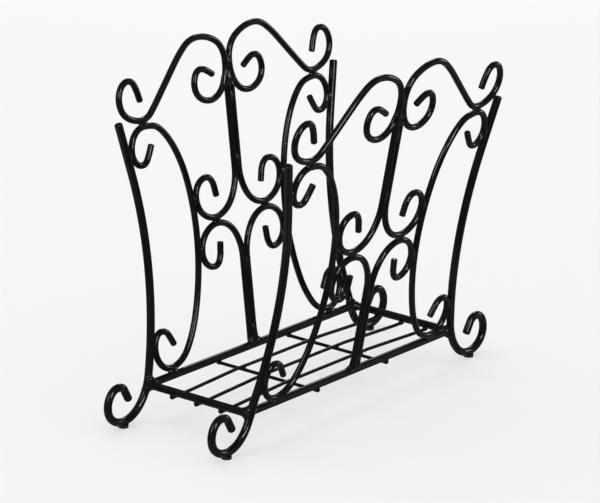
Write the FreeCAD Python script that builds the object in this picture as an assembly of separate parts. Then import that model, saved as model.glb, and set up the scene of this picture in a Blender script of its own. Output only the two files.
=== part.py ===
import FreeCAD, Part
import math
import os

# Magazine rack: two splayed panels of bent round rod on a frame of four bars, with a floor of
# thin wires and four curled feet.
# Millimetres. X runs along the rack, Y through its depth (front panel at -Y), Z is up, and
# the origin is on the floor under the middle of the rack.

Vector = FreeCAD.Vector

# Rod stock, as diameters
LEG_ROD = 8.4
SCROLL_ROD = 6.7
BAR_ROD = 8.2
WIRE_ROD = 3.6
ROD_GAP = 0.15           # space left between neighbouring rods, closed by their weld bead
END_ROUNDING = 0.24      # edge radius of a cut rod end, as a share of the rod's diameter

# Base frame, to the bars' centrelines: the short bars run between the legs, and the long bars
# between the short ones
SHORT_BAR_X = 175.0
LONG_BAR_Y = 62.6
BAR_HEIGHT = 37.0
SHORT_BAR_HALF = 62.0

# Panels: u runs outward from the middle and v up the slope, with v = 0 at the bars' height
PANEL_OFFSET = 65.3
PANEL_TILT = math.radians(8.8)

# Legs: an arc with its waist at LEG_WAIST_V, straight above LEG_STRAIGHT_V
LEG_WAIST_U = 155.1
LEG_WAIST_V = 120.0
LEG_RADIUS = 400.0
LEG_STRAIGHT_V = 215.0
LEG_STRAIGHT = 55.0
KNEE_V = 4.0             # where the leg turns from the panel's slope to upright
KNEE_LEAD = 5.0          # length of the turn on each side of the knee

# Curled feet, in the upright plane through the knee: x outward, z up, heading in degrees
FOOT_SOLE = (210.0, 5.8, 0)
FOOT_CURL = [(235.0, 27.0, 90), (220.0, 44.0, 180), (210.0, 39.4, -122)]
FOOT_TIP = 14.5

# Foot pads
PAD_DIAMETER = 10.5
PAD_HEIGHT = 3.0

# Scrolls: knots of (u, v, heading in degrees), joined by pairs of tangent arcs
PAIR_U = (SCROLL_ROD + ROD_GAP) / 2      # a rod that lies against its mirror image
SCROLL_STEP = SCROLL_ROD + ROD_GAP       # between two scroll rods that touch

HARP_WAIST_U = 74.4
HARP_WAIST_V = 132.0
HARP_RADIUS = 235.0

CREST_JOINT = (142.0, 264.6)             # the crest's underside, on the harp's top
RING_JOINT = (41.0, 143.9)               # the upper J's underside, on the lower cane's top
HARP_SOLE = (134.0, 6.7)                 # the harp's underside, on the long bar
CANE_SOLE_V = 3.8                        # cut end of the lower cane, on the long bar
J_TOP_V = 275.7                          # cut end of the upper J, wedged between the crests

# Wires of the base
LONG_WIRE_Y = 31.0
LONG_WIRE_HALF = 176.6
CROSS_WIRE_X = 59.5
CROSS_WIRE_HALF = 64.2
WIRE_LOW = BAR_HEIGHT - (BAR_ROD + WIRE_ROD) / 2 - ROD_GAP
WIRE_HIGH = WIRE_LOW + WIRE_ROD + ROD_GAP
RAMP_OUTER = 163.0       # a long wire climbs from its ends to pass over the cross wires
RAMP_INNER = 72.0
RAMP_LEAD = 6.0

# Weld beads: half-lengths along the seam and radii
SEAM_HALF = 5.5
SEAM_RADIUS = 2.6
MIDDLE_SEAMS = {298.5: 7.5, 262.0: 7.0, 196.0: 7.0, 86.0: 7.0, 16.0: 7.0}   # half-length by height v
HARP_SEAMS_V = (167.5, 113.5)            # the upper and the lower ring, against the harp
HOOK_SEAM_RISE = 15.0    # the harp's upper hook, above the leg's last bend
LOWER_HOOK_SEAM_V = 35.0
SOLE_HALF = 6.6          # along the long bar, where the rods of a panel stand on it
SOLE_SHIFT = 1.6         # outward from the bar's centreline
SOLE_SINK = 0.2          # below the bar's top
CORNER_HALF = 3.8        # upright beads where two bars and a leg meet: x, y and radius of each
CORNER_BEADS = [(170.8, 58.6, 3.0), (168.8, 67.2, 2.9), (178.0, 62.6, 3.2)]
WEDGE_BASE_HALF = 9.0    # weld metal that fills the space over the upper J's tops: width at its base,
WEDGE_SINK = 1.0         # how far it reaches below the tops,
WEDGE_TOP_V = 290.8      # where it ends between the crests
WEDGE_DEPTH = 5.8        # and how thick it is through the panel
WIRE_BEAD_RADIUS = 2.6
WIRE_BEAD_SHIFT = 1.0    # outward from the bar's centreline, over the wire's end
CROSSING_RADIUS = 2.2

# Tolerances of the construction
STRAIGHT = 1e-6          # sine of the angle under which an edge counts as a line
PARALLEL = 1e-9          # one minus the cosine under which two headings are the same
SAME_PLACE = 0.01

SIDES = {"left": -1, "right": 1}
FACES = {"front": -1, "back": 1}


# ---------------------------------------------------------------- paths


def direction(heading):
    """Unit vector in the drawing plane at a heading in degrees."""
    angle = math.radians(heading)
    return Vector(math.cos(angle), math.sin(angle), 0)


def knot_point(knot):
    return Vector(knot[0], knot[1], 0)


def ahead(knot, distance):
    """The knot moved straight along its own heading."""
    point = knot_point(knot) + direction(knot[2]) * distance
    return (point.x, point.y, knot[2])


def arc_middle(start, tangent, end):
    """Middle point of the arc from start, along tangent, to end."""
    chord = end - start
    turn = math.atan2(chord.x * tangent.y - chord.y * tangent.x, chord.dot(tangent))
    across = Vector(-chord.y, chord.x, 0)
    return (start + end) * 0.5 + across * (0.5 * math.tan(turn / 2))


def joint_of_arcs(start, start_way, end, end_way):
    """Where two tangent arcs meet that leave start and reach end along the given ways."""
    span = end - start
    along = span.dot(start_way + end_way)
    spread = 2 * (1 - start_way.dot(end_way))
    reach = (math.sqrt(along ** 2 + spread * span.dot(span)) - along) / spread
    return (start + end + (start_way - end_way) * reach) * 0.5


def edge(start, tangent, end, place):
    """A line or an arc from start to end, put in space by place()."""
    chord = end - start
    if chord.cross(tangent).Length < STRAIGHT * chord.Length:
        return Part.LineSegment(place(start), place(end)).toShape()
    middle = arc_middle(start, tangent, end)
    return Part.Arc(place(start), place(middle), place(end)).toShape()


def edges_through(knots, place):
    """Tangent lines and arcs through all the knots."""
    edges = []
    for first, second in zip(knots, knots[1:]):
        start, end = knot_point(first), knot_point(second)
        start_way, end_way = direction(first[2]), direction(second[2])
        if start_way.dot(end_way) > 1 - PARALLEL:
            edges.append(edge(start, start_way, end, place))
            continue
        middle = joint_of_arcs(start, start_way, end, end_way)
        edges.append(edge(start, start_way, middle, place))
        middle_way = middle_tangent(start, start_way, middle)
        edges.append(edge(middle, middle_way, end, place))
    return edges


def middle_tangent(start, tangent, end):
    """Tangent at the end of the arc from start, along tangent, to end."""
    chord = end - start
    chord.normalize()
    return chord * (2 * chord.dot(tangent)) - tangent


# ---------------------------------------------------------------- rods


def sweep(edges, diameter):
    """Round rod along the edges, with flat ends."""
    first = edges[0]
    way = first.tangentAt(first.FirstParameter)
    ring = Part.Circle(first.valueAt(first.FirstParameter), way, diameter / 2)
    disc = Part.Face(Part.Wire(ring.toShape()))
    return Part.Wire(edges).makePipe(disc)


def round_ends(rod, diameter, ends):
    """Break the edges of the cut ends, which lie at the given points."""
    rims = []
    for rim in rod.Edges:
        if not isinstance(rim.Curve, Part.Circle):
            continue
        if any((rim.Curve.Center - end).Length < SAME_PLACE for end in ends):
            rims.append(rim)
    return rod.makeFillet(END_ROUNDING * diameter, rims)


def rod_through(knots, place, diameter):
    rod = sweep(edges_through(knots, place), diameter)
    return round_ends(rod, diameter, [place(knot_point(knots[0])), place(knot_point(knots[-1]))])


def panel_place(side, face):
    """Puts a point (u, v) of a panel's drawing in space."""
    def place(point):
        return Vector(
            side * point.x,
            face * (PANEL_OFFSET + point.y * math.sin(PANEL_TILT)),
            BAR_HEIGHT + point.y * math.cos(PANEL_TILT),
        )
    return place


# ---------------------------------------------------------------- legs and feet


def leg_knot(v):
    """A point of the leg's long arc, heading down."""
    lean = math.asin((v - LEG_WAIST_V) / LEG_RADIUS)
    u = LEG_WAIST_U + LEG_RADIUS * (1 - math.cos(lean))
    return (u, v, -90 - math.degrees(lean))


def leg_path(side, face):
    """Edges of the leg from its top to the tip of its foot."""
    place = panel_place(side, face)
    bend_top = leg_knot(LEG_STRAIGHT_V)
    top = ahead(bend_top, -LEG_STRAIGHT)
    before_knee = leg_knot(KNEE_V + KNEE_LEAD)
    edges = edges_through([top, bend_top, leg_knot(LEG_WAIST_V), before_knee], place)

    # the turn at the knee, from the slope of the panel to upright
    corner = place(knot_point(before_knee) + direction(before_knee[2]) * KNEE_LEAD)
    start = place(knot_point(before_knee))
    way_in = (corner - start).normalize()
    way_out = Vector(way_in.x, 0, way_in.z).normalize()
    end = corner + way_out * KNEE_LEAD
    inward = (way_out - way_in).normalize()
    turn = way_in.getAngle(way_out)
    middle = corner + inward * (KNEE_LEAD * math.tan(turn / 4))
    edges.append(Part.Arc(start, middle, end).toShape())

    def foot_place(point):
        return Vector(side * point.x, corner.y, point.y)

    heading = math.degrees(math.atan2(way_out.z, abs(way_out.x)))
    ankle = (abs(end.x), end.z, heading)
    tip = ahead(FOOT_CURL[-1], FOOT_TIP)
    return edges + edges_through([ankle, FOOT_SOLE] + FOOT_CURL + [tip], foot_place)


def leg(side, face):
    """Top, waist, knee and curled foot in one rod."""
    edges = leg_path(side, face)
    rod = sweep(edges, LEG_ROD)
    top = edges[0].valueAt(edges[0].FirstParameter)
    tip = edges[-1].valueAt(edges[-1].LastParameter)
    return round_ends(rod, LEG_ROD, [top, tip])


def leg_sleeve(side, face):
    """The leg with the space that a neighbour leaves round it."""
    return sweep(leg_path(side, face), LEG_ROD + 2 * ROD_GAP)


def foot_pad(leg_rod, side, face):
    """Round pad under the foot, hollowed where the rod sits in it."""
    y = face * (PANEL_OFFSET + KNEE_V * math.sin(PANEL_TILT))
    centre = Vector(side * FOOT_SOLE[0], y, 0)
    pad = Part.makeCylinder(PAD_DIAMETER / 2, PAD_HEIGHT, centre)
    return pad.cut(leg_rod)


# ---------------------------------------------------------------- scrolls


def harp_knot(v):
    """A point of the harp's long arc, heading down."""
    lean = math.asin((v - HARP_WAIST_V) / HARP_RADIUS)
    u = HARP_WAIST_U + HARP_RADIUS * (1 - math.cos(lean))
    return (u, v, -90 - math.degrees(lean))


def crest_scroll():
    """Small outer hook, long rise, and the arch that curls back beside its twin."""
    hook_root = (145.5, 291.5, 72)
    rise = (115.0, 281.6, 135.5)
    tip_root = (33.0, 294.6, -149)
    return [
        ahead(hook_root, -8.5),
        hook_root,
        (159.5, 307.0, 0),
        (175.0, 289.5, -90),
        CREST_JOINT + (180,),
        rise,
        ahead(rise, 41),
        (47.0, 331.9, 180),
        (PAIR_U, 300.0, -90),
        (PAIR_U, 297.0, -90),
        (32.0, 264.3, 0),
        (56.0, 284.0, 90),
        (44.5, 298.5, 180),
        tip_root,
        ahead(tip_root, 9.5),
    ]


def harp_scroll():
    """Long C with a hook at each end; both hooks lie against the leg."""
    upper_root = (135.2, 231.9, -61)
    lower_root = (133.5, 40.5, -122)
    top = (CREST_JOINT[0], CREST_JOINT[1] - SCROLL_STEP, 180)
    return [
        ahead(upper_root, -7),
        upper_root,
        (148.2, 219.6, 0),
        (163.05, 236.0, 90),
        top,
        (116.2, 250.6, -141),
        (97.2, 228.0, -121),
        harp_knot(190),
        harp_knot(50),
        HARP_SOLE + (0,),
        (156.75, 31.0, 90),
        (145.0, 46.8, 180),
        lower_root,
        ahead(lower_root, 13.5),
    ]


def upper_j_scroll():
    """Straight down the middle, then a ring that lies against the harp."""
    tip_root = (39.8, 175.5, -103)
    return [
        (PAIR_U, J_TOP_V, -90),
        (PAIR_U, 188.0, -90),
        RING_JOINT + (0,),
        (70.27, 170.0, 90),
        (52.5, 187.5, 180),
        tip_root,
        ahead(tip_root, 11),
    ]


def lower_cane_scroll():
    """Straight up the middle from the long bar, then a ring that lies against the harp."""
    tip_root = (39.3, 106.0, 97)
    return [
        (PAIR_U, CANE_SOLE_V, 90),
        (PAIR_U, 93.0, 90),
        (RING_JOINT[0], RING_JOINT[1] - SCROLL_STEP, 0),
        (68.3, 112.0, -90),
        (50.0, 93.5, 180),
        tip_root,
        ahead(tip_root, 11.5),
    ]


# ---------------------------------------------------------------- base


def straight_bar(start, end, legs):
    """Bar between two points, notched where it meets the legs."""
    def place(point):
        return start + (end - start) * point.x

    bar = sweep([edge(Vector(0, 0, 0), Vector(1, 0, 0), Vector(1, 0, 0), place)], BAR_ROD)
    return bar.cut(legs)


def base_bars():
    """The two short bars and the two long bars of the base frame."""
    bars = {}
    long_half = SHORT_BAR_X - BAR_ROD / 2 - ROD_GAP
    for name, side in SIDES.items():
        clear = [leg_sleeve(side, face) for face in FACES.values()]
        start = Vector(side * SHORT_BAR_X, -SHORT_BAR_HALF, BAR_HEIGHT)
        end = Vector(side * SHORT_BAR_X, SHORT_BAR_HALF, BAR_HEIGHT)
        bars["short_bar_" + name] = straight_bar(start, end, clear)
    for name, face in FACES.items():
        clear = [leg_sleeve(side, face) for side in SIDES.values()]
        start = Vector(-long_half, face * LONG_BAR_Y, BAR_HEIGHT)
        end = Vector(long_half, face * LONG_BAR_Y, BAR_HEIGHT)
        bars["long_bar_" + name] = straight_bar(start, end, clear)
    return bars


def long_wire(y):
    """Wire along the rack, welded under the short bars and sprung over the cross wires."""
    slope = math.degrees(math.atan2(WIRE_HIGH - WIRE_LOW, RAMP_OUTER - RAMP_INNER))
    lead = RAMP_LEAD
    climb_foot = (-RAMP_OUTER, WIRE_LOW, slope)
    climb_top = (-RAMP_INNER, WIRE_HIGH, slope)
    fall_top = (RAMP_INNER, WIRE_HIGH, -slope)
    fall_foot = (RAMP_OUTER, WIRE_LOW, -slope)
    knots = [
        (-LONG_WIRE_HALF, WIRE_LOW, 0),
        (-RAMP_OUTER - lead, WIRE_LOW, 0),
        ahead(climb_foot, lead),
        ahead(climb_top, -lead),
        (-RAMP_INNER + lead, WIRE_HIGH, 0),
        (RAMP_INNER - lead, WIRE_HIGH, 0),
        ahead(fall_top, lead),
        ahead(fall_foot, -lead),
        (RAMP_OUTER + lead, WIRE_LOW, 0),
        (LONG_WIRE_HALF, WIRE_LOW, 0),
    ]

    def place(point):
        return Vector(point.x, y, point.y)

    return rod_through(knots, place, WIRE_ROD)


def cross_wire(x):
    """Straight wire across the rack, welded under the long bars."""
    def place(point):
        return Vector(x, point.x, point.y)

    return rod_through([(-CROSS_WIRE_HALF, WIRE_LOW, 0), (CROSS_WIRE_HALF, WIRE_LOW, 0)], place, WIRE_ROD)


# ---------------------------------------------------------------- weld beads


def beside(knot, distance):
    """The knot moved to the right of its heading, keeping the heading."""
    point = knot_point(knot) + direction(knot[2] - 90) * distance
    return (point.x, point.y, knot[2])


def bead(middle, reach, radius):
    """Short round bar about its middle point; reach goes from there to one end."""
    return Part.makeCylinder(radius, 2 * reach.Length, middle - reach, reach)


def seam(knot, place, half_length=SEAM_HALF):
    """Bead along the heading of a knot."""
    middle = place(knot_point(knot))
    nose = place(knot_point(ahead(knot, half_length)))
    return bead(middle, nose - middle, SEAM_RADIUS)


def half_panel_seams(place):
    """Beads of one half of a panel."""
    scroll_reach = SCROLL_STEP / 2
    leg_reach = (LEG_ROD + ROD_GAP) / 2
    seams = [
        (CREST_JOINT[0], CREST_JOINT[1] - scroll_reach, 0),
        (RING_JOINT[0], RING_JOINT[1] - scroll_reach, 0),
        beside(ahead(leg_knot(LEG_STRAIGHT_V), -HOOK_SEAM_RISE), leg_reach),
        beside(leg_knot(LOWER_HOOK_SEAM_V), leg_reach),
    ]
    seams += [beside(harp_knot(v), scroll_reach) for v in HARP_SEAMS_V]
    return [seam(knot, place) for knot in seams]


def middle_seams(place):
    """Beads along the middle of a panel, where left and right rods lie together."""
    beads = [seam((0, v, 90), place, half_length) for v, half_length in MIDDLE_SEAMS.items()]
    return beads + [top_wedge(place)]


def top_wedge(place):
    """Three-cornered plate of weld metal between the crests, on the upper J's tops."""
    base_v = J_TOP_V - WEDGE_SINK
    drawn = [(-WEDGE_BASE_HALF, base_v), (WEDGE_BASE_HALF, base_v), (0, WEDGE_TOP_V)]
    corners = [place(Vector(u, v, 0)) for u, v in drawn]
    way = (corners[1] - corners[0]).cross(corners[2] - corners[0]).normalize()
    through = way * WEDGE_DEPTH
    outline = [corner - through * 0.5 for corner in corners]
    return Part.Face(Part.makePolygon(outline + outline[:1])).extrude(through)


def sole_seams(face):
    """Beads where the rods of a panel stand on the long bar."""
    y = face * (LONG_BAR_Y + SOLE_SHIFT)
    z = BAR_HEIGHT + BAR_ROD / 2 - SOLE_SINK
    reach = Vector(SOLE_HALF, 0, 0)
    beads = []
    for x in (-HARP_SOLE[0], 0, HARP_SOLE[0]):
        beads.append(bead(Vector(x, y, z), reach, SEAM_RADIUS))
    return beads


def corner_beads(side, face):
    """Beads where a short bar, a long bar and a leg meet."""
    reach = Vector(0, 0, CORNER_HALF)
    return [bead(Vector(side * x, face * y, BAR_HEIGHT), reach, radius) for x, y, radius in CORNER_BEADS]


def base_beads():
    """Beads where the wires meet the bars and each other."""
    beads = []
    under_bar = WIRE_LOW + WIRE_ROD / 4
    between_wires = (WIRE_LOW + WIRE_HIGH) / 2
    for y in (-LONG_WIRE_Y, 0, LONG_WIRE_Y):
        for side in SIDES.values():
            wire_end = Vector(side * (SHORT_BAR_X + WIRE_BEAD_SHIFT), y, under_bar)
            crossing = Vector(side * CROSS_WIRE_X, y, between_wires)
            beads.append(Part.makeSphere(WIRE_BEAD_RADIUS, wire_end))
            beads.append(Part.makeSphere(CROSSING_RADIUS, crossing))
    for side in SIDES.values():
        for face in FACES.values():
            wire_end = Vector(side * CROSS_WIRE_X, face * (LONG_BAR_Y + WIRE_BEAD_SHIFT), under_bar)
            beads.append(Part.makeSphere(WIRE_BEAD_RADIUS, wire_end))
    return beads


def cut_back(beads, rods):
    """The beads without the rods that they join."""
    solids = []
    for whole in beads:
        near = [rod for rod in rods if rod.BoundBox.intersect(whole.BoundBox)]
        solids += whole.cut(near).Solids
    return solids


def front_welds(rods):
    """All the beads of the front panel; its right half mirrors its left."""
    left, front = SIDES["left"], FACES["front"]
    place = panel_place(left, front)
    middle = cut_back(middle_seams(place) + sole_seams(front), rods)
    half = cut_back(half_panel_seams(place) + corner_beads(left, front), rods)
    other_half = Part.makeCompound(half).mirror(Vector(0, 0, 0), Vector(1, 0, 0))
    return Part.makeCompound(middle + half + other_half.Solids)


# ---------------------------------------------------------------- assembly


def build():
    """Every separate rod, wire and pad, by name."""
    solids = base_bars()
    for name, y in (("front", -LONG_WIRE_Y), ("middle", 0), ("back", LONG_WIRE_Y)):
        solids["long_wire_" + name] = long_wire(y)
    for name, side in SIDES.items():
        solids["cross_wire_" + name] = cross_wire(side * CROSS_WIRE_X)
    for face_name, face in FACES.items():
        for side_name, side in SIDES.items():
            corner = face_name + "_" + side_name
            place = panel_place(side, face)
            rod = leg(side, face)
            solids["leg_" + corner] = rod
            solids["foot_pad_" + corner] = foot_pad(rod, side, face)
            solids["crest_scroll_" + corner] = rod_through(crest_scroll(), place, SCROLL_ROD)
            solids["harp_scroll_" + corner] = rod_through(harp_scroll(), place, SCROLL_ROD)
            solids["upper_j_scroll_" + corner] = rod_through(upper_j_scroll(), place, SCROLL_ROD)
            solids["lower_cane_scroll_" + corner] = rod_through(lower_cane_scroll(), place, SCROLL_ROD)
    rods = list(solids.values())
    welds = front_welds(rods)
    solids["weld_beads_front_panel"] = welds
    solids["weld_beads_back_panel"] = welds.mirror(Vector(0, 0, 0), Vector(0, 1, 0))
    solids["weld_beads_base"] = Part.makeCompound(cut_back(base_beads(), rods))
    return solids


def write(solids):
    os.makedirs("parts", exist_ok=True)
    for name, solid in solids.items():
        solid.exportStep("parts/" + name + ".step")


write(build())
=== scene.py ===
import math

import bmesh
import bpy
import numpy as np
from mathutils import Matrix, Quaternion, Vector
from mathutils.bvhtree import BVHTree


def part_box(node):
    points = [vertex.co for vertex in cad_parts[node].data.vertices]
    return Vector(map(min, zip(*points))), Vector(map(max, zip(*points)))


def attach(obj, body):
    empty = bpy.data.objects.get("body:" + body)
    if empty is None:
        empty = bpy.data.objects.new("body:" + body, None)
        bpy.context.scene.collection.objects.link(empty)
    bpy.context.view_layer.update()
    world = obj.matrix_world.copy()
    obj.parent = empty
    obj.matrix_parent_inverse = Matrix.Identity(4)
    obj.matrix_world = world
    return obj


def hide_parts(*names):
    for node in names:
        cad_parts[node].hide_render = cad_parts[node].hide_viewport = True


# Magazine rack of gloss black rod, in metres, in the frame of the CAD model.

MM = 0.001

# ---------------------------------------------------------------- sizes and tones

# Camera: where it looks, from how far, and its angles in degrees
AIM = Vector((-0.0126, -0.0006, 0.1543))
DISTANCE = 3.741
HEADING = 53.58          # from +Y towards +X
DOWN = 17.35
ROLL = 2.15
LENS = 219.4             # in millimetres, like the sensor
SENSOR_WIDTH = 36.0
CLIP_END = 100.0

# Floor: a matt sheet of paper that is white through its colour and its glow together
FLOOR_HALF = 30.0
FLOOR_COLOR = (0.34, 0.34, 0.342)
FLOOR_ROUGHNESS = 0.9
FLOOR_GLOW = 0.54        # light from the rest of the studio, which no shadow of the rack dims

# Room: even light on the floor and the paint, and what the paint reflects where no lamp stands
WORLD_LIGHT = 1.02
ROOM_DARK = (0.01, 0.01, 0.012)
ROOM_BRIGHT = (0.2, 0.205, 0.22)
ROOM_PATCHES = 2.2       # noise scale of the room's darker and brighter parts
PATCH_EDGE = (0.42, 0.62)    # noise values where a patch starts and where it is full
ROOM_LOW = 1.25          # brightness below the eye line, and above it
ROOM_HIGH = 0.75
ROOM_FADE = 0.25         # half of the height over which one turns into the other

# Strip lamps that only the paint reflects: heading as seen from the rack (from +Y towards +X),
# elevation, distance, width, height and brightness
STRIPS = {
    "key": (-161, 27, 2.6, 0.28, 1.3, 15.0),
    "left": (-88, 29, 2.6, 0.28, 1.3, 8.0),
    "top": (-128, 47, 2.8, 0.5, 0.5, 1.4),
    "rear": (60, 34, 2.8, 0.4, 1.2, 3.0),
    "rim": (112, 10, 2.8, 0.4, 1.0, 3.0),
}
# Square lamps that the paint doesn't reflect: heading, elevation, distance, width and power.
# The first faces the rack and casts its faint shadow, the second lights the floor behind it from above.
SHADE = (-15, 62, 2.6, 0.7, 8.0)
FAR = (53.58, 18, 2.9, 1.2, 5.2)

# Paint. A scale is in features per metre, and a gloss is a range of roughness.
PAINT_IOR = 1.5
COAT_WEIGHT = 0.35
COAT_ROUGHNESS = 0.06
PAINT_DARK = (0.0014, 0.0014, 0.0016)
PAINT_LIGHT = (0.0046, 0.0045, 0.0047)
PAINT_CLOUDS = 45        # scale of the change from the dark tone to the light one
PAINT_GLOSS = (0.10, 0.20)
GLOSS_SCALE = 120
WAVE_SCALE = 90          # slow waves where the paint ran before it set
ROD_PEEL = (420, 0.004 * MM)     # scale and depth of the orange peel
WIRE_PEEL = (600, 0.005 * MM)
WELD_PEEL = (420, 0.008 * MM)
ROD_WAVE = 0.009 * MM
WELD_WAVE = 0.02 * MM
# Lighter speckles on sharp convex edges: partly worn thin paint, partly a painted highlight
EDGE_WEAR_AND_HIGHLIGHT_COLOR = (0.022, 0.021, 0.02)    # thin paint on a sharp edge, and a painted highlight where the edge catches the light
EDGE_WEAR_AND_HIGHLIGHT_SPECKLE = 900
EDGE_WEAR_AND_HIGHLIGHT_POINTINESS = (0.53, 0.62)     # pointiness where the wear and painted highlight start and where they are full

# Rubber of the pads
RUBBER_IOR = 1.45
RUBBER_DARK = (0.008, 0.008, 0.008)
RUBBER_LIGHT = (0.016, 0.0155, 0.015)
RUBBER_CLOUDS = 300
RUBBER_GLOSS = (0.5, 0.75)
RUBBER_GLOSS_SCALE = 700
RUBBER_GRAIN = (1800, 0.06 * MM)     # scale and depth

# Fillet of one bead
REACH_ALONG = 1.35       # how far it reaches, as a share of the bead's half-length and half-width
REACH_ACROSS = 1.55
LEAST_REACH = 0.55       # its smallest reach as a share of its reach along the bead
FILLET = 3.0 * MM        # blending width at its middle
FADE_ACROSS = 0.35       # share of the blending that is lost at its sides; at its ends all is lost
CORE = 1.08              # molten core, as a share of the bead
WELD_DETAIL = 4          # icosphere subdivisions

# Web of weld at a corner of the base frame, where a leg and two bars meet
CORNER_REACH = 13.0 * MM
CORNER_FILLET = 10.0 * MM
CORNER_SPREAD = 13.0 * MM    # beads closer to each other than this belong to one web
CORNER_DETAIL = 5

# Both kinds of weld
SKIN = 0.03 * MM         # the edges end this far under the rods' surface
LUMP = 0.11 * MM         # hand-made unevenness, from lowest to highest
LUMP_WAVES = 1500        # waves of the unevenness in radians per metre
FINE_WAVES = 2700
FINE_SHARE = 0.6         # height of the fine waves as a share of the others
LUMP_PHASE = 700         # radians per metre by which the waves differ from weld to weld

# How a fillet's surface is found
MARCH_STEPS = 14
MARCH_END = 0.004 * MM   # a point this close to the surface is on it
CLOSE_ROD = 0.6          # a rod counts if its box is closer than this share of the reach
LEAST_SHARE = 0.05       # no point comes nearer to the middle than this share of the reach
SURE_SIDE = 0.9          # where less of the distance than this is along the normal, as near a sharp
                         # edge, a probe tells inside from outside
MOST_CROSSINGS = 20      # surfaces that a probe may meet on its way out
PAST_SURFACE = SKIN / 100    # where the next probe starts, beyond the surface that the last one met
PROBE = Vector((0.31, 0.87, 0.38)).normalized()     # a direction along no rod
SAME_PLACE = 0.001 * MM  # vertices closer than this are one
NEARLY_ZERO = 1e-9


# ---------------------------------------------------------------- helpers


def link(obj):
    bpy.context.scene.collection.objects.link(obj)
    return obj


def from_heading(heading, elevation):
    """Unit vector at a heading from +Y towards +X and an elevation, in degrees."""
    turn, rise = math.radians(heading), math.radians(elevation)
    level = math.cos(rise)
    return Vector((math.sin(turn) * level, math.cos(turn) * level, math.sin(rise)))


def dress(obj, material):
    obj.data.materials.clear()
    obj.data.materials.append(material)


def smooth(obj):
    for polygon in obj.data.polygons:
        polygon.use_smooth = True


# ---------------------------------------------------------------- shader nodes


def new_node(tree, kind, **inputs):
    """A shader node with its named sockets set."""
    node = tree.nodes.new(kind)
    for name, value in inputs.items():
        node.inputs[name.replace("_", " ")].default_value = value
    return node


def noise(tree, coordinates, scale, detail):
    """Noise of 0 to 1 with features about 1/scale across."""
    node = new_node(tree, "ShaderNodeTexNoise", Scale=scale, Detail=detail)
    tree.links.new(coordinates, node.inputs["Vector"])
    return node.outputs["Fac"]


def ramp(tree, factor, low, high, start=0.3, end=0.7):
    """Colour that goes from low to high while the factor goes from start to end."""
    node = new_node(tree, "ShaderNodeValToRGB")
    first, last = node.color_ramp.elements
    first.position, first.color = start, (*low, 1)
    last.position, last.color = end, (*high, 1)
    tree.links.new(factor, node.inputs["Fac"])
    return node.outputs["Color"]


def spread(tree, value, low, high, start=0.0, end=1.0):
    """Number that goes from low to high while the value goes from start to end."""
    node = new_node(tree, "ShaderNodeMapRange", From_Min=start, From_Max=end, To_Min=low, To_Max=high)
    tree.links.new(value, node.inputs["Value"])
    return node.outputs["Result"]


def bump(tree, height, depth, normal=None):
    """Bump from a height of 0 to 1 that stands for depth metres."""
    node = new_node(tree, "ShaderNodeBump", Strength=1.0, Distance=depth)
    tree.links.new(height, node.inputs["Height"])
    if normal is not None:
        tree.links.new(normal, node.inputs["Normal"])
    return node.outputs["Normal"]


def worn_and_highlit_edges(tree, place):
    """Speckles of 0 to 1 on sharp convex edges, 0 on the open surface: worn paint and a painted
    highlight.
    """
    pointiness = new_node(tree, "ShaderNodeNewGeometry").outputs["Pointiness"]
    speckles = new_node(tree, "ShaderNodeMath")
    speckles.operation = "MULTIPLY"
    tree.links.new(spread(tree, pointiness, 0.0, 1.0, *EDGE_WEAR_AND_HIGHLIGHT_POINTINESS), speckles.inputs[0])
    tree.links.new(noise(tree, place, EDGE_WEAR_AND_HIGHLIGHT_SPECKLE, 2), speckles.inputs[1])
    return speckles.outputs["Value"]


def start_material(name, ior):
    """A new material with its node tree, its shader and the coordinates of the object."""
    material = bpy.data.materials.new(name)
    material.use_nodes = True
    tree = material.node_tree
    shader = tree.nodes["Principled BSDF"]
    shader.inputs["IOR"].default_value = ior
    return material, tree, shader, new_node(tree, "ShaderNodeTexCoord").outputs["Object"]


# ---------------------------------------------------------------- materials


def paint(name, peel, wave_depth, edges=True):
    """Gloss black paint over steel: orange peel, slow waves, uneven gloss, and edges made lighter as
    thin worn paint and as a painted highlight.

    Without edges it is for a rod whose cut ends are under weld."""
    material, tree, shader, place = start_material(name, PAINT_IOR)
    shader.inputs["Coat Weight"].default_value = COAT_WEIGHT
    shader.inputs["Coat Roughness"].default_value = COAT_ROUGHNESS

    tone = ramp(tree, noise(tree, place, PAINT_CLOUDS, 3), PAINT_DARK, PAINT_LIGHT)
    # Sharp edges get a lighter colour: worn thin paint, and a painted highlight on the edges
    if edges:
        worn_and_highlit = new_node(tree, "ShaderNodeMix")
        worn_and_highlit.data_type = "RGBA"
        worn_and_highlit.inputs["B"].default_value = (*EDGE_WEAR_AND_HIGHLIGHT_COLOR, 1)
        tree.links.new(worn_and_highlit_edges(tree, place), worn_and_highlit.inputs["Factor"])
        tree.links.new(tone, worn_and_highlit.inputs["A"])
        tone = worn_and_highlit.outputs["Result"]
    tree.links.new(tone, shader.inputs["Base Color"])

    gloss = spread(tree, noise(tree, place, GLOSS_SCALE, 3), *PAINT_GLOSS)
    tree.links.new(gloss, shader.inputs["Roughness"])

    peel_scale, peel_depth = peel
    dimples = bump(tree, noise(tree, place, peel_scale, 1), peel_depth)
    waves = bump(tree, noise(tree, place, WAVE_SCALE, 1), wave_depth, dimples)
    tree.links.new(waves, shader.inputs["Normal"])
    return material


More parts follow.
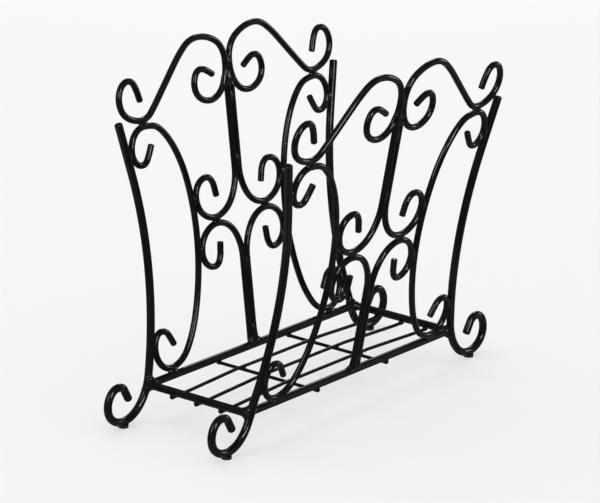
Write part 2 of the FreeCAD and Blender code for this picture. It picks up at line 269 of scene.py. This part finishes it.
def rubber():
    """Matt black moulded rubber with a fine grain."""
    material, tree, shader, place = start_material("pad_rubber", RUBBER_IOR)
    tone = ramp(tree, noise(tree, place, RUBBER_CLOUDS, 3), RUBBER_DARK, RUBBER_LIGHT)
    tree.links.new(tone, shader.inputs["Base Color"])
    gloss = spread(tree, noise(tree, place, RUBBER_GLOSS_SCALE, 2), *RUBBER_GLOSS)
    tree.links.new(gloss, shader.inputs["Roughness"])
    grain_scale, grain_depth = RUBBER_GRAIN
    grain = bump(tree, noise(tree, place, grain_scale, 2), grain_depth)
    tree.links.new(grain, shader.inputs["Normal"])
    return material


def dress_nodes(nodes):
    """Give every CAD rod, wire and pad its material."""
    rod_paint = paint("black_paint_rod", ROD_PEEL, ROD_WAVE)
    wire_paint = paint("black_paint_wire", WIRE_PEEL, ROD_WAVE)
    bar_paint = paint("black_paint_bar", ROD_PEEL, ROD_WAVE, edges=False)
    pad_rubber = rubber()
    for name, node in nodes.items():
        if "wire" in name:
            dress(node, wire_paint)
        elif "pad" in name:
            dress(node, pad_rubber)
        elif "bar" in name:
            dress(node, bar_paint)
        else:
            dress(node, rod_paint)
        smooth(node)


# ---------------------------------------------------------------- CAD beads and rods


def islands(obj):
    """The vertices of each separate solid in a mesh."""
    points = np.array([v.co for v in obj.data.vertices])
    places = np.round(points / SAME_PLACE).astype(np.int64)
    keys, same = np.unique(places, axis=0, return_inverse=True)
    same = same.ravel()
    parent = list(range(len(keys)))

    def root(i):
        while parent[i] != i:
            parent[i] = parent[parent[i]]
            i = parent[i]
        return i

    for polygon in obj.data.polygons:
        corners = [root(same[i]) for i in polygon.vertices]
        for other in corners[1:]:
            parent[root(other)] = root(corners[0])
    groups = {}
    for i, key in enumerate(same):
        groups.setdefault(root(key), []).append(i)
    return [points[members] for members in groups.values()]


def joints_of(beads):
    """The beads in groups, one for each joint."""
    groups = []
    for points in beads:
        for group in groups:
            if np.linalg.norm(points.mean(0) - group[0].mean(0)) < CORNER_SPREAD:
                group.append(points)
                break
        else:
            groups.append([points])
    return groups


def bead_frame(points):
    """Middle, axes (longest first) and half-sizes of one CAD bead."""
    spans = points - points.mean(0)
    axes = np.linalg.svd(spans, full_matrices=False)[2]
    along = spans @ axes.T
    half = (along.max(0) - along.min(0)) / 2
    middle = points.mean(0) + ((along.max(0) + along.min(0)) / 2) @ axes
    order = np.argsort(-half)
    return middle, axes[order], half[order]


class Rod:
    """A CAD node as a signed distance."""

    def __init__(self, obj):
        self.low, self.high = (np.array(corner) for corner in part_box(obj.name))
        mesh = bmesh.new()
        mesh.from_mesh(obj.data)
        self.tree = BVHTree.FromBMesh(mesh)
        mesh.free()

    def near(self, middle, reach):
        """Whether a point is in the node's box or within reach of it."""
        return bool(np.all(middle > self.low - reach) and np.all(middle < self.high + reach))

    def distance(self, points):
        """Signed distance of each point from the surface, negative inside."""
        found = np.empty(len(points))
        for i, point in enumerate(points):
            spot, normal, _, away = self.tree.find_nearest(point)
            outward = (Vector(point) - spot).dot(normal)
            inside = outward < 0
            if abs(outward) < SURE_SIDE * away:
                inside = self.holds(point)
            found[i] = -away if inside else away
        return found

    def holds(self, point):
        """Whether the point is inside, from the number of surfaces on the way out."""
        spot = Vector(point)
        crossings = 0
        while crossings < MOST_CROSSINGS:
            spot = self.tree.ray_cast(spot, PROBE)[0]
            if spot is None:
                break
            spot += PROBE * PAST_SURFACE
            crossings += 1
        return crossings % 2 == 1


# ---------------------------------------------------------------- welds


def blend(first, second, width):
    """Smooth minimum of two distances."""
    overlap = np.maximum(width - np.abs(first - second), 0) / np.maximum(width, NEARLY_ZERO)
    return np.minimum(first, second) - overlap ** 2 * width / 4


def lumps(points, middle):
    """Slow unevenness of -1 to 1 that differs from weld to weld."""
    phase = LUMP_PHASE * middle
    slow = np.sin(points * LUMP_WAVES + phase).sum(1)
    fine = np.sin(points[:, ::-1] * FINE_WAVES + 2 * phase).sum(1)
    highest = 3 * (1 + FINE_SHARE)
    return (slow + FINE_SHARE * fine) / highest


def core_distance(points, middle, axes, half):
    """Distance from the ellipsoid that stands for a bead's molten core, nearly true close to it."""
    local = (points - middle) @ axes.T
    size = half * CORE
    near = np.maximum(np.linalg.norm(local / size, axis=1), NEARLY_ZERO)
    return near * (near - 1) / np.linalg.norm(local / size ** 2, axis=1).clip(NEARLY_ZERO)


def melted(spots, rods, width):
    """Distance of the spots from the rods, which run into each other over a width."""
    away = np.full(len(spots), 1.0)
    for rod in rods:
        away = blend(away, rod.distance(spots) + SKIN, width)
    return away


def unit_ball(detail):
    """Vertices and triangles of an icosphere."""
    ball = bmesh.new()
    bmesh.ops.create_icosphere(ball, subdivisions=detail, radius=1)
    vertices = np.array([v.co for v in ball.verts])
    triangles = [[v.index for v in face.verts] for face in ball.faces]
    ball.free()
    return vertices, triangles


def shrink(ball, middle, axes, size, surface):
    """Draw the ball's vertices in from an ellipsoid towards its middle, until they are on a surface.

    surface(spots, share, ball) gives each spot's distance from it, where a spot lies at a share of
    the way from the middle to the ellipsoid and ball is its vertex of the unit ball."""
    rays = (ball * size) @ axes
    lengths = np.linalg.norm(rays, axis=1)
    share = np.ones(len(rays))
    active = np.arange(len(rays))
    for _ in range(MARCH_STEPS):
        spots = middle + rays[active] * share[active, None]
        away = surface(spots, share[active], ball[active])
        share[active] -= np.maximum(away, 0) / lengths[active]
        share = np.maximum(share, LEAST_SHARE)
        active = active[away > MARCH_END]
        if not len(active):
            break
    return middle + rays * share[:, None]


def bead_weld(points, rods):
    """Fillet round one CAD bead, as vertices and triangles."""
    middle, axes, half = bead_frame(points)
    size = half * np.array([REACH_ALONG, REACH_ACROSS, REACH_ACROSS])
    size = np.maximum(size, LEAST_REACH * size[0])
    close = [rod for rod in rods if rod.near(middle, CLOSE_ROD * size[0])]

    def surface(spots, share, ball):
        fade = np.clip(1 - share ** 2 * (ball[:, 0] ** 2 + FADE_ACROSS), 0, 1)
        width = FILLET * fade
        away = blend(melted(spots, close, width), core_distance(spots, middle, axes, half), width)
        return away - LUMP / 2 * fade * lumps(spots, middle)

    ball, triangles = unit_ball(WELD_DETAIL)
    return shrink(ball, middle, axes, size, surface), triangles


def corner_weld(beads, rods):
    """Web of weld in place of the beads at a corner of the base frame, as vertices and triangles.

    It has no cores: at this width they would swell it into a ball."""
    middle = np.mean([bead_frame(points)[0] for points in beads], axis=0)
    close = [rod for rod in rods if rod.near(middle, CLOSE_ROD * CORNER_REACH)]

    def surface(spots, share, ball):
        fade = 1 - share ** 2
        return melted(spots, close, CORNER_FILLET * fade) - LUMP / 2 * fade * lumps(spots, middle)

    ball, triangles = unit_ball(CORNER_DETAIL)
    return shrink(ball, middle, np.eye(3), np.full(3, CORNER_REACH), surface), triangles


def mirrored(vertices, triangles, signs):
    """The same weld on another side of the rack, with its triangles still facing out."""
    flipped = vertices * np.array(signs)
    if signs[0] * signs[1] < 0:
        triangles = [corners[::-1] for corners in triangles]
    return flipped, triangles


def panel_welds(node, rods):
    """The welds of the front panel: its left half's, their copies on the right, and the middle's."""
    welds = []
    for beads in joints_of(islands(node)):
        if beads[0][:, 0].min() < 0:
            one = corner_weld(beads, rods) if len(beads) > 1 else bead_weld(beads[0], rods)
            welds.append(one)
            if beads[0][:, 0].max() < 0:
                welds.append(mirrored(*one, (-1, 1, 1)))
    return welds


def weld_piece(name, node, welds, material):
    """One piece for all the welds of a CAD node."""
    vertices, faces = [], []
    for spots, triangles in welds:
        start = len(vertices)
        vertices += [tuple(spot) for spot in spots]
        faces += [[i + start for i in corners] for corners in triangles]
    mesh = bpy.data.meshes.new(name)
    mesh.from_pydata(vertices, [], faces)
    piece = link(bpy.data.objects.new(name, mesh))
    smooth(piece)
    dress(piece, material)
    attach(piece, "root")
    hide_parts(node)


def add_welds(nodes):
    """Smooth painted fillets in place of the CAD beads."""
    material = paint("black_paint_weld", WELD_PEEL, WELD_WAVE)
    rods = [Rod(obj) for name, obj in nodes.items() if not name.startswith(("weld", "foot_pad"))]
    front = panel_welds(nodes["weld_beads_front_panel"], rods)
    back = [mirrored(*one, (1, -1, 1)) for one in front]
    base = [bead_weld(points, rods) for points in islands(nodes["weld_beads_base"])]
    weld_piece("weld_fillets_front_panel", "weld_beads_front_panel", front, material)
    weld_piece("weld_fillets_back_panel", "weld_beads_back_panel", back, material)
    weld_piece("weld_fillets_base", "weld_beads_base", base, material)


# ---------------------------------------------------------------- studio


def add_floor():
    mesh = bpy.data.meshes.new("floor")
    h = FLOOR_HALF
    mesh.from_pydata([(-h, -h, 0), (h, -h, 0), (h, h, 0), (-h, h, 0)], [], [(0, 1, 2, 3)])
    floor = link(bpy.data.objects.new("floor", mesh))
    material = bpy.data.materials.new("floor")
    material.use_nodes = True
    shader = material.node_tree.nodes["Principled BSDF"]
    shader.inputs["Base Color"].default_value = (*FLOOR_COLOR, 1)
    shader.inputs["Roughness"].default_value = FLOOR_ROUGHNESS
    shader.inputs["Specular IOR Level"].default_value = 0.0
    shader.inputs["Emission Color"].default_value = (1, 1, 1, 1)
    shader.inputs["Emission Strength"].default_value = FLOOR_GLOW
    dress(floor, material)
    floor.visible_glossy = False


def add_world():
    """Even pale light; the paint reflects a dimmer room with darker and brighter parts."""
    world = bpy.data.worlds.new("studio")
    bpy.context.scene.world = world
    world.use_nodes = True
    tree = world.node_tree
    light = tree.nodes["Background"]
    light.inputs["Color"].default_value = (1, 1, 1, 1)
    light.inputs["Strength"].default_value = WORLD_LIGHT

    direction = new_node(tree, "ShaderNodeTexCoord").outputs["Generated"]
    patches = ramp(tree, noise(tree, direction, ROOM_PATCHES, 1), ROOM_DARK, ROOM_BRIGHT, *PATCH_EDGE)
    split = new_node(tree, "ShaderNodeSeparateXYZ")
    tree.links.new(direction, split.inputs["Vector"])
    strength = spread(tree, split.outputs["Z"], ROOM_LOW, ROOM_HIGH, -ROOM_FADE, ROOM_FADE)
    room = new_node(tree, "ShaderNodeBackground")
    tree.links.new(patches, room.inputs["Color"])
    tree.links.new(strength, room.inputs["Strength"])

    either = new_node(tree, "ShaderNodeMixShader")
    is_glossy = new_node(tree, "ShaderNodeLightPath").outputs["Is Glossy Ray"]
    tree.links.new(is_glossy, either.inputs[0])
    tree.links.new(light.outputs[0], either.inputs[1])
    tree.links.new(room.outputs[0], either.inputs[2])
    tree.links.new(either.outputs[0], tree.nodes["World Output"].inputs["Surface"])


def add_lamp(name, heading, elevation, distance, width, height, power):
    """Rectangular lamp that faces the rack."""
    data = bpy.data.lights.new(name, "AREA")
    data.shape = "RECTANGLE"
    data.size = width
    data.size_y = height
    data.energy = power
    lamp = link(bpy.data.objects.new(name, data))
    way = from_heading(heading, elevation)
    lamp.location = AIM + way * distance
    lamp.rotation_mode = "QUATERNION"
    lamp.rotation_quaternion = (-way).to_track_quat("-Z", "Y")
    lamp.visible_camera = False
    return lamp


def add_lamps():
    """Strips that only show in the gloss, and two soft lamps that don't show in it."""
    for name, (heading, elevation, distance, width, height, brightness) in STRIPS.items():
        power = brightness * math.pi * width * height
        strip = add_lamp(name, heading, elevation, distance, width, height, power)
        strip.visible_diffuse = False
    for name, (heading, elevation, distance, width, power) in {"shade": SHADE, "far": FAR}.items():
        soft = add_lamp(name, heading, elevation, distance, width, width, power)
        soft.visible_glossy = False
        if name == "far":
            soft.rotation_quaternion = Quaternion()     # straight down


def add_camera():
    data = bpy.data.cameras.new("camera")
    data.lens = LENS
    data.sensor_width = SENSOR_WIDTH
    data.clip_end = CLIP_END
    camera = link(bpy.data.objects.new("camera", data))
    look = from_heading(HEADING, -DOWN)
    camera.location = AIM - look * DISTANCE
    camera.rotation_mode = "QUATERNION"
    level = look.to_track_quat("-Z", "Y")
    camera.rotation_quaternion = level @ Quaternion((0, 0, 1), math.radians(ROLL))
    bpy.context.scene.camera = camera


# ---------------------------------------------------------------- scene


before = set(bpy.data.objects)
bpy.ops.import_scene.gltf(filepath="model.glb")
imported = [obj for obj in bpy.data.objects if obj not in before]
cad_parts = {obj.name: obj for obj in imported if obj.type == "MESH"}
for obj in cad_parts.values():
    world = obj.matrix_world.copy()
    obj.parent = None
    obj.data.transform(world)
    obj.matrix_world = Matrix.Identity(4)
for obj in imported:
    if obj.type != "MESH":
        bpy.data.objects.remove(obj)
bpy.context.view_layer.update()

dress_nodes(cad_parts)
add_welds(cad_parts)

bpy.context.scene.view_settings.view_transform = "Standard"
add_floor()
add_world()
add_lamps()
add_camera()
